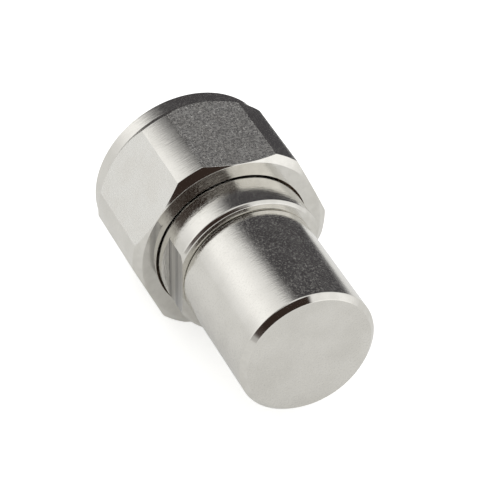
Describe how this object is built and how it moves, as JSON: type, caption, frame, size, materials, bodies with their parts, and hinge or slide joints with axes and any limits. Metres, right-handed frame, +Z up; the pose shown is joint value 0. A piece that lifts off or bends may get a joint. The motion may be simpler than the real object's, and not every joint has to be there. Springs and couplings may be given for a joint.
{
  "type": "coaxial terminator",
  "caption": "Coaxial terminator: hexagonal threaded coupling nut turning on a round body with wrench flats and a closed cylindrical load barrel, nickel plated.",
  "frame": {"origin": "centre of the reference plane, the front edge of the outer contact sleeve, on the plug's axis", "axes": "+X along the plug's axis, out of the nut's mouth; +Z up, square to the nut flat that is on top while the part lies on the opposite flat"},
  "size_m": [0.03, 0.0204, 0.019],
  "materials": {
    "nickel_plate": "satin",
    "spring_bronze": "satin",
    "silicone": "matte",
    "gold_plate": "gloss",
    "white_insulator": "satin",
    "bare_aluminium": "satin",
    "film_ceramic": "matte",
    "tinned_steel": "satin"
  },
  "bodies": {
    "body": {"connector_body": "nickel_plate", "sealing_gasket": "silicone", "centre_pin": "gold_plate", "support_bead": "white_insulator", "bead_retaining_bush": "nickel_plate", "load_housing": "nickel_plate", "matching_sleeve": "bare_aluminium", "resistor_rod": "film_ceramic", "front_end_cap": "tinned_steel", "rear_end_cap": "tinned_steel", "ground_diaphragm": "spring_bronze"},
    "ring": {"retaining_ring": "spring_bronze"},
    "nut": {"coupling_nut": "nickel_plate"}
  },
  "joints": [
    {"name": "nut_float", "type": "slide", "parent": "body", "child": "ring", "axis": [1, 0, 0], "range_m": [-0.00008, 0.00008]},
    {"name": "nut_turn", "type": "hinge", "parent": "ring", "child": "nut", "pos_m": [-0.0108, 0, 0], "axis": [1, 0, 0], "continuous": true}
  ]
}
